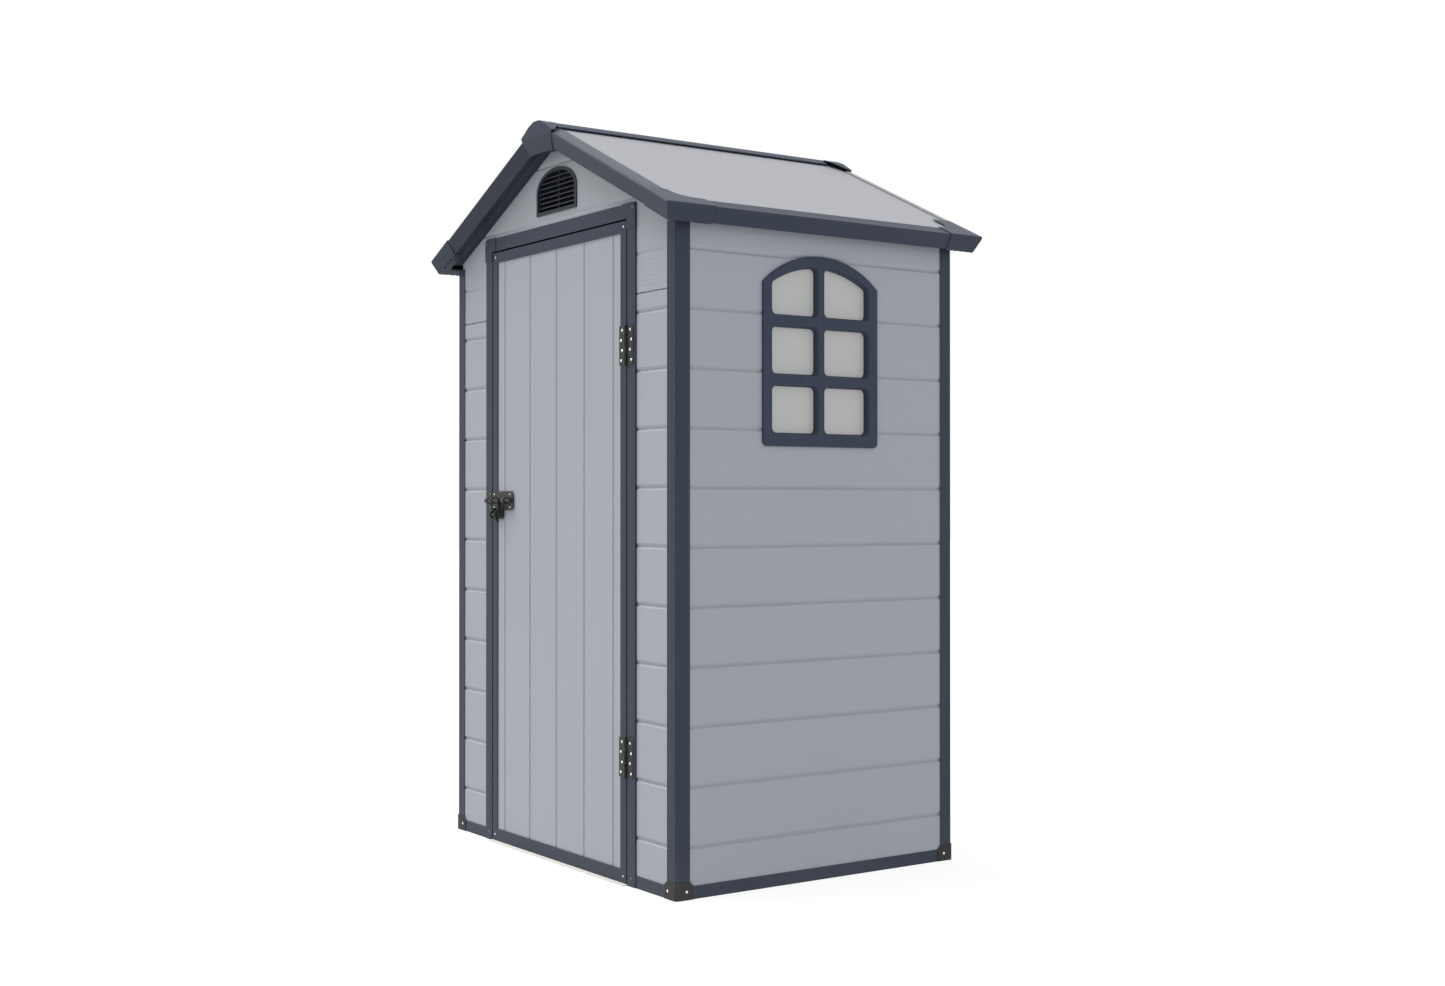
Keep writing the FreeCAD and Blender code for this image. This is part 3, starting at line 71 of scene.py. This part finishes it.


class Finish:
    """A procedural material on one Principled shader, built up layer by layer."""

    def __init__(self, name, colour, roughness, metallic=0.0):
        self.material = bpy.data.materials.new(name)
        self.material.use_nodes = True
        self.tree = self.material.node_tree
        self.shader = self.tree.nodes["Principled BSDF"]
        self.shader.inputs["Base Color"].default_value = (*colour, 1)
        self.shader.inputs["Metallic"].default_value = metallic
        self.coords = self.tree.nodes.new("ShaderNodeTexCoord").outputs["Object"]
        self.colour = tuple(colour)
        self.roughness = roughness
        self.height = None

    def node(self, kind, **settings):
        """Adds a node of this kind."""
        made = self.tree.nodes.new(kind)
        for key, value in settings.items():
            setattr(made, key, value)
        return made

    def link(self, source, target):
        """Feeds a socket from a number, a colour or another socket."""
        if isinstance(source, (int, float)):
            target.default_value = source
        elif isinstance(source, tuple):
            target.default_value = (*source, 1) if len(source) == 3 else source
        else:
            self.tree.links.new(source, target)

    def maths(self, operation, a, b, clamp=False):
        """One step of arithmetic on numbers or sockets."""
        made = self.node("ShaderNodeMath", operation=operation, use_clamp=clamp)
        self.link(a, made.inputs[0])
        self.link(b, made.inputs[1])
        return made.outputs[0]

    def noise(self, scale, detail=2.0, stretch=(1, 1, 1), roughness=0.5, offset=(0, 0, 0), tilt=0.0):
        """Noise with a mean of a half: scale features per metre before stretch, turned by tilt about Y."""
        place = self.node("ShaderNodeMapping", vector_type="TEXTURE")
        place.inputs["Rotation"].default_value = (0, math.radians(tilt), 0)
        place.inputs["Scale"].default_value = tuple(1 / share for share in stretch)
        place.inputs["Location"].default_value = offset
        self.link(self.coords, place.inputs["Vector"])
        made = self.node("ShaderNodeTexNoise")
        made.inputs["Scale"].default_value = scale
        made.inputs["Detail"].default_value = detail
        made.inputs["Roughness"].default_value = roughness
        self.link(place.outputs[0], made.inputs["Vector"])
        return made.outputs["Fac"]

    def ramp(self, value, low, high):
        """value carried from low..high to 0..1, with a smooth start and end."""
        made = self.node("ShaderNodeMapRange", interpolation_type="SMOOTHSTEP")
        self.link(value, made.inputs["Value"])
        made.inputs["From Min"].default_value = low
        made.inputs["From Max"].default_value = high
        return made.outputs["Result"]

    def tint(self, mask, colour, strength):
        """Mixes colour in where mask is 1."""
        made = self.node("ShaderNodeMix", data_type="RGBA")
        self.link(self.maths("MULTIPLY", mask, strength), made.inputs["Factor"])
        self.link(self.colour, made.inputs["A"])
        self.link(tuple(colour), made.inputs["B"])
        self.colour = made.outputs["Result"]

    def roughen(self, mask, amount):
        """Adds amount to the roughness where mask is 1."""
        self.roughness = self.maths("ADD", self.roughness, self.maths("MULTIPLY", mask, amount), clamp=True)

    def raise_by(self, mask, metres):
        """Adds a layer of relief of this height in metres."""
        layer = self.maths("MULTIPLY", mask, metres)
        self.height = layer if self.height is None else self.maths("ADD", self.height, layer)

    def edges(self, radius):
        """A mask of edges, for wear and for painted edge highlights: 1 where the surface turns within
        radius.
        """
        rounded = self.node("ShaderNodeBevel", samples=EDGE_SAMPLES)
        rounded.inputs["Radius"].default_value = radius
        flat = self.node("ShaderNodeNewGeometry")
        dot = self.node("ShaderNodeVectorMath", operation="DOT_PRODUCT")
        self.link(rounded.outputs["Normal"], dot.inputs[0])
        self.link(flat.outputs["Normal"], dot.inputs[1])
        turned = self.maths("SUBTRACT", 1.0, dot.outputs["Value"])
        return self.maths("MULTIPLY", turned, EDGE_GAIN, clamp=True)

    def low_down(self, top):
        """A mask that is 1 at the ground and fades out at the height top."""
        split = self.node("ShaderNodeSeparateXYZ")
        self.link(self.coords, split.inputs[0])
        made = self.node("ShaderNodeMapRange", interpolation_type="SMOOTHSTEP")
        self.link(split.outputs["Z"], made.inputs["Value"])
        made.inputs["From Min"].default_value = 0.0
        made.inputs["From Max"].default_value = top
        made.inputs["To Min"].default_value = 1.0
        made.inputs["To Max"].default_value = 0.0
        return made.outputs["Result"]

    def done(self):
        """Joins the layers to the shader, and gives the material."""
        self.link(self.colour, self.shader.inputs["Base Color"])
        self.link(self.roughness, self.shader.inputs["Roughness"])
        if self.height is not None:
            bump = self.node("ShaderNodeBump")
            bump.inputs["Strength"].default_value = 1.0
            bump.inputs["Distance"].default_value = 1.0
            self.link(self.height, bump.inputs["Height"])
            self.link(bump.outputs[0], self.shader.inputs["Normal"])
        return self.material


def darker(colour, share):
    """The colour at this share of its brightness."""
    return tuple(channel * share for channel in colour)


def paler(colour, share):
    """The colour, this share of the way to white."""
    return tuple(channel + (1 - channel) * share for channel in colour)


def plastic(name, colour, roughness, run, tilt=0.0, specular=0.28, edge_wear_and_highlight=0.3, dust=0.05):
    """Coloured-through plastic: a mottle, streaks along run, scuffs, paler edges that are partly wear and
    partly a painted highlight, dust low down, grain.
    """
    finish = Finish(name, colour, roughness)
    finish.shader.inputs["Specular IOR Level"].default_value = specular
    mottle = finish.noise(2.6, detail=3.0)
    finish.tint(finish.ramp(mottle, 0.42, 0.70), darker(colour, 0.93), 0.22)
    streaks = finish.noise(1.0, stretch=run, offset=(3.1, 1.7, 0.4), tilt=tilt)
    finish.tint(finish.ramp(streaks, 0.50, 0.74), paler(colour, 0.03), 0.25)
    finish.roughen(finish.ramp(streaks, 0.45, 0.75), 0.06)
    scuffs = finish.noise(34.0, detail=5.0, roughness=0.68, offset=(0.7, 5.2, 2.9))
    finish.roughen(finish.ramp(scuffs, 0.60, 0.80), 0.14)
    finish.tint(finish.ramp(scuffs, 0.68, 0.88), paler(colour, 0.12), 0.22)
    # Paler edges: partly wear, partly a painted highlight where the edges catch the light.
    finish.tint(finish.edges(PLASTIC_EDGE_WEAR_AND_HIGHLIGHT), paler(colour, 0.22), edge_wear_and_highlight)
    ground = finish.maths("MULTIPLY", finish.low_down(DUST_TOP), finish.ramp(mottle, 0.30, 0.65))
    finish.tint(ground, GROUND_DUST, dust)
    finish.roughen(ground, 0.12)
    finish.raise_by(finish.noise(1500.0), PLASTIC_GRAIN)
    finish.raise_by(streaks, PLASTIC_GRAIN)
    return finish.done()


def painted_steel(name, colour):
    """Dark painted steel: an even orange peel, bright metal at the worn edges and a little dull dust."""
    finish = Finish(name, colour, 0.42)
    finish.shader.inputs["Specular IOR Level"].default_value = 0.3
    peel = finish.noise(900.0, detail=1.0)
    patches = finish.noise(60.0, detail=4.0, roughness=0.6)
    finish.tint(finish.ramp(patches, 0.48, 0.72), paler(colour, 0.04), 0.7)
    finish.roughen(finish.ramp(patches, 0.40, 0.75), 0.18)
    finish.tint(finish.edges(STEEL_WEAR), BARE_STEEL, 0.30)
    finish.raise_by(peel, 0.03 * MM)
    return finish.done()


def plated_metal(name, colour, roughness, run, grain=0.01 * MM, metallic=1.0):
    """Bare or plated metal, brushed along run, with a cloudy finish."""
    finish = Finish(name, colour, roughness, metallic=metallic)
    brushed = finish.noise(1.0, stretch=run)
    cloud = finish.noise(110.0, detail=3.0)
    finish.tint(finish.ramp(cloud, 0.45, 0.75), darker(colour, 0.72), 0.5)
    finish.roughen(finish.ramp(cloud, 0.40, 0.75), 0.15)
    finish.roughen(brushed, 0.08)
    finish.raise_by(brushed, grain)
    return finish.done()


def frosted_pane():
    """A light grey plastic sheet with a fine frosted face and a painted glow that evens out its shading."""
    finish = Finish("frosted_pane", PANE_GREY, 0.34)
    # Painted glow: the sheet gives off light though no lamp lies behind it.
    finish.shader.inputs["Emission Color"].default_value = (*PANE_GLOW_COLOUR, 1)
    finish.shader.inputs["Emission Strength"].default_value = PANE_PAINTED_GLOW
    finish.shader.inputs["Specular IOR Level"].default_value = 0.5
    finish.shader.inputs["Coat Weight"].default_value = 0.15
    finish.shader.inputs["Coat Roughness"].default_value = 0.12
    haze = finish.noise(7.0, detail=4.0)
    finish.tint(finish.ramp(haze, 0.40, 0.72), darker(PANE_GREY, 0.93), 0.4)
    finish.roughen(finish.ramp(haze, 0.42, 0.70), 0.08)
    finish.raise_by(finish.noise(420.0), 0.02 * MM)
    return finish.done()


def trim(name, run, tilt=0.0, share=1.0):
    """The dark extruded trim at this share of its brightness, with its die lines along run; a share below 1
    is painted shade, a share above 1 painted light.
    """
    return plastic(name, darker(ANTHRACITE, share), 0.46, run=run, tilt=tilt, specular=0.24, edge_wear_and_highlight=0.25)


MATERIALS = {
    "boards_along_x": plastic("boards_along_x", WALL_GREY, 0.50, run=ALONG_X),
    "boards_along_y": plastic("boards_along_y", WALL_GREY, 0.50, run=ALONG_Y),
    "door_boards": plastic("door_boards", WALL_GREY, 0.50, run=ALONG_Z),
    "roof": plastic("roof", ROOF_GREY, 0.46, run=ALONG_X, edge_wear_and_highlight=0.2, dust=0.0),
    "trim_along_x": trim("trim_along_x", ALONG_X),
    "trim_along_y": trim("trim_along_y", ALONG_Y),
    "trim_along_z": trim("trim_along_z", ALONG_Z),
    # Darker copies of the trim for the barge boards: painted shade, more on the left slope than on the
    # right.
    "trim_right_slope_painted_shade": trim("trim_right_slope_painted_shade", ALONG_X, tilt=25.0, share=0.86),
    "trim_left_slope_painted_shade": trim("trim_left_slope_painted_shade", ALONG_X, tilt=-25.0, share=0.7),
    # Lighter copy of the trim for the window frame: painted light.
    "trim_window_painted_light": trim("trim_window_painted_light", ALONG_Z, share=1.12),
    # Lighter copy of the trim for the ridge cap: painted light on its lit top.
    "trim_ridge_painted_light": trim("trim_ridge_painted_light", ALONG_Y, share=1.14),
    # Darker copy of the trim for the vent: painted shade of its recess.
    "trim_vent_painted_shade": trim("trim_vent_painted_shade", ALONG_X, share=0.55),
    # The seal's black is painted shade for the dark gap beside the door.
    "seal": plastic("seal", SEAL_SHADE_BLACK, 0.75, run=ALONG_Z, specular=0.05, edge_wear_and_highlight=0.05, dust=0.02),
    "bracket": plastic("bracket", CHARCOAL, 0.48, run=CLOUDED, specular=0.2),
    "hardware": painted_steel("hardware", darker(CHARCOAL, 0.75)),
    "screws": plated_metal("screws", BRIGHT_ZINC, 0.26, run=SPECKLED),
    "threshold": plated_metal(
        "threshold", MILL_FINISH, 0.50, run=BRUSHED_X, grain=0.03 * MM, metallic=0.2
    ),
    "dull_screws": plated_metal("dull_screws", DULL_ZINC, 0.34, run=SPECKLED),
    "zinc": plated_metal("zinc", GALVANISED, 0.40, run=BRUSHED_Y, grain=0.02 * MM),
    "pane": frosted_pane(),
}

# Which finish each CAD node has, by the start of its name. The first match counts.
FINISH_OF = (
    ("left_wall_boards", "boards_along_y"),
    ("right_wall_boards", "boards_along_y"),
    ("back_wall_boards", "boards_along_x"),
    ("front_wall_boards", "boards_along_x"),
    ("front_gable_panel", "boards_along_x"),
    ("back_gable_panel", "boards_along_x"),
    ("door_boards", "door_boards"),
    ("roof_panel", "roof"),
    ("roof_rim", "roof"),
    ("base_brackets", "bracket"),
    ("base_rail_left", "trim_along_y"),
    ("base_rail_right", "trim_along_y"),
    ("base_rail", "trim_along_x"),
    ("corner_post", "trim_along_z"),
    ("door_jamb", "trim_along_z"),
    ("door_stile", "trim_along_z"),
    ("door_rail", "trim_along_x"),
    ("door_header", "trim_along_x"),
    ("door_frame_corners", "trim_along_z"),
    ("eave_fascia", "trim_along_y"),
    ("wall_top_rails", "trim_along_y"),
    ("ridge_beam", "zinc"),
    ("ridge_cap", "trim_ridge_painted_light"),
    ("ridge_", "trim_along_y"),
    ("barge_board_front_right", "trim_right_slope_painted_shade"),
    ("barge_board_back_right", "trim_right_slope_painted_shade"),
    ("barge_board", "trim_left_slope_painted_shade"),
    ("gable_trims", "trim_along_x"),
    ("eave_caps", "trim_along_x"),
    ("window_frame", "trim_window_painted_light"),
    ("window_pane", "pane"),
    ("vent_", "trim_vent_painted_shade"),
    ("threshold", "threshold"),
    ("latch_", "hardware"),
    ("hinge_jamb_leaves", "hardware"),
    ("hinge_door_leaves", "hardware"),
    ("hinge_pins", "hardware"),
    ("base_bracket_screws", "screws"),
    ("hinge_", "screws"),
    ("door_screws", "screws"),
    ("door_frame_screws", "dull_screws"),
)


def dress_frame():
    """Gives every CAD node its finish."""
    for name, obj in NODES.items():
        finish = next(chosen for start, chosen in FINISH_OF if name.startswith(start))
        obj.data.materials.clear()
        obj.data.materials.append(MATERIALS[finish])


# How far the edges of the larger pieces are rounded, in mm, by the start of the node's name.
ROUNDED = {
    "corner_post": 0.8,
    "door_jamb": 0.6,
    "door_stile": 0.6,
    "door_rail": 0.5,
    "door_header": 0.6,
    "base_rail": 0.6,
    "base_brackets": 0.6,
    "eave_": 0.5,
    "barge_board": 0.5,
    "ridge_": 0.5,
    "window_frame_outer": 0.7,
    "vent_frame": 0.6,
    "roof_panel": 0.6,
}
ROUND_STEPS = 2
ROUND_ABOVE = 35                       # degrees that an edge turns by


def soften_edges():
    """Rounds the moulded edges of the larger pieces a little, as plastic is never sharp."""
    for name, obj in NODES.items():
        size = next((mm for start, mm in ROUNDED.items() if name.startswith(start)), None)
        if size is None:
            continue
        bevel = obj.modifiers.new("soft_edges", "BEVEL")
        bevel.width = size * MM
        bevel.segments = ROUND_STEPS
        bevel.limit_method = "ANGLE"
        bevel.angle_limit = math.radians(ROUND_ABOVE)


# ---- Rubber door seals, black as painted shade of the door's gap -----------------------------------
SEAL_PAST_LEAF = (0.6 * MM, 4.9 * MM)  # from clear of the leaf's edge to just inside the jamb
SEAL_SUNK = (1.0 * MM, 4.0 * MM)       # from its front to its back, behind the leaf's face
SEAL_SHORT = (9.0 * MM, 2.0 * MM)      # how far it ends inside the leaf's bottom and its top
# Corners of a box by number, x changing first and z last, with each face turned inwards.
BOX_FACES = ((0, 1, 3, 2), (4, 6, 7, 5), (0, 4, 5, 1), (2, 3, 7, 6), (0, 2, 6, 4), (1, 5, 7, 3))


def reach(node):
    """The lowest and the highest x, y and z of a CAD node."""
    obj = NODES[node]
    points = [obj.matrix_world @ vertex.co for vertex in obj.data.vertices]
    low = [min(point[axis] for point in points) for axis in range(3)]
    high = [max(point[axis] for point in points) for axis in range(3)]
    return low, high


def make_door_shade_seals():
    """A black rubber strip down each jamb, filling the running gap beside the closed door; its black is
    painted shade for the gap's dark line.
    """
    low, high = reach("door_stile_hinge_side")
    widths = [high[0] + past for past in SEAL_PAST_LEAF]
    depths = [low[1] + sunk for sunk in SEAL_SUNK]
    heights = [low[2] + SEAL_SHORT[0], high[2] - SEAL_SHORT[1]]
    for name, side in (("door_seal_right", 1), ("door_seal_left", -1)):
        corners = [(side * x, y, z) for z in heights for y in depths for x in widths]
        mesh = bpy.data.meshes.new(name)
        mesh.from_pydata(corners, [], [face[::-side] for face in BOX_FACES])
        mesh.materials.append(MATERIALS["seal"])
        seal = bpy.data.objects.new(name, mesh)
        bpy.context.scene.collection.objects.link(seal)
        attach(seal, "shed")


# ---- Studio ----------------------------------------------------------------------------------------
FLOOR_SIZE = (60.0, 60.0)
FLOOR_GREY, INNER_GREY = 0.15, 0.16
FLOOR_GLOW = 0.86                      # light that the floor gives off, so that it shows white
INNER_SIZE = (1190 * MM, 900 * MM)     # ends under the base rails
INNER_RISE = 0.5 * MM
GROUND_ROUGHNESS = 0.95


def make_ground(name, size, height, grey):
    """A flat matt stage piece, and its shader."""
    bpy.ops.mesh.primitive_plane_add(size=1.0, location=(0, 0, height))
    ground = bpy.context.object
    ground.name = name
    ground.scale = (*size, 1)
    material = bpy.data.materials.new(name)
    material.use_nodes = True
    shader = material.node_tree.nodes["Principled BSDF"]
    shader.inputs["Base Color"].default_value = (grey, grey, grey, 1)
    shader.inputs["Roughness"].default_value = GROUND_ROUGHNESS
    ground.data.materials.append(material)
    return shader


def make_floor():
    """The white studio floor."""
    shader = make_ground("studio_floor", FLOOR_SIZE, 0, FLOOR_GREY)
    shader.inputs["Specular IOR Level"].default_value = 0.0
    shader.inputs["Emission Color"].default_value = (1, 1, 1, 1)
    shader.inputs["Emission Strength"].default_value = FLOOR_GLOW


def make_inner_floor():
    """Bare ground under the shed, which keeps the studio floor's light out of the inside."""
    make_ground("inner_floor", INNER_SIZE, INNER_RISE, INNER_GREY)


def add_sun(name, towards, energy, spread, colour):
    """A distant lamp that stands in this direction and is this many degrees wide."""
    lamp = bpy.data.lights.new(name, "SUN")
    lamp.energy = energy
    lamp.angle = math.radians(spread)
    lamp.color = colour
    holder = bpy.data.objects.new(name, lamp)
    holder.rotation_euler = Vector(towards).to_track_quat("Z", "Y").to_euler()
    bpy.context.scene.collection.objects.link(holder)


def make_light():
    """A white surround, a soft high key from the door's side, and a weak cool fill on the window's side."""
    world = bpy.data.worlds.new("studio")
    world.use_nodes = True
    world.node_tree.nodes["Background"].inputs["Color"].default_value = (1, 1, 1, 1)
    world.node_tree.nodes["Background"].inputs["Strength"].default_value = 1.0
    bpy.context.scene.world = world
    add_sun("key", towards=(-0.34, -0.22, 0.91), energy=4.0, spread=34, colour=(1.0, 1.0, 1.0))
    add_sun("cool_fill", towards=(1.0, 0.12, 0.20), energy=0.22, spread=40, colour=(0.30, 0.50, 1.0))


CAMERA_AT = (4.2957, -2.887, 0.9983)
CAMERA_TURN = (90.298, 0.0, 55.162)    # degrees
LENS, SENSOR = 43.98, 36.0             # mm


def make_camera():
    """A camera a metre above the ground, off the corner between the door and the window."""
    camera = bpy.data.objects.new("camera", bpy.data.cameras.new("camera"))
    camera.data.lens = LENS
    camera.data.sensor_width = SENSOR
    camera.location = CAMERA_AT
    camera.rotation_euler = [math.radians(degrees) for degrees in CAMERA_TURN]
    bpy.context.scene.collection.objects.link(camera)
    bpy.context.scene.camera = camera


dress_frame()
soften_edges()
make_door_shade_seals()
make_floor()
make_inner_floor()
make_light()
make_camera()
bpy.context.scene.view_settings.view_transform = "Standard"
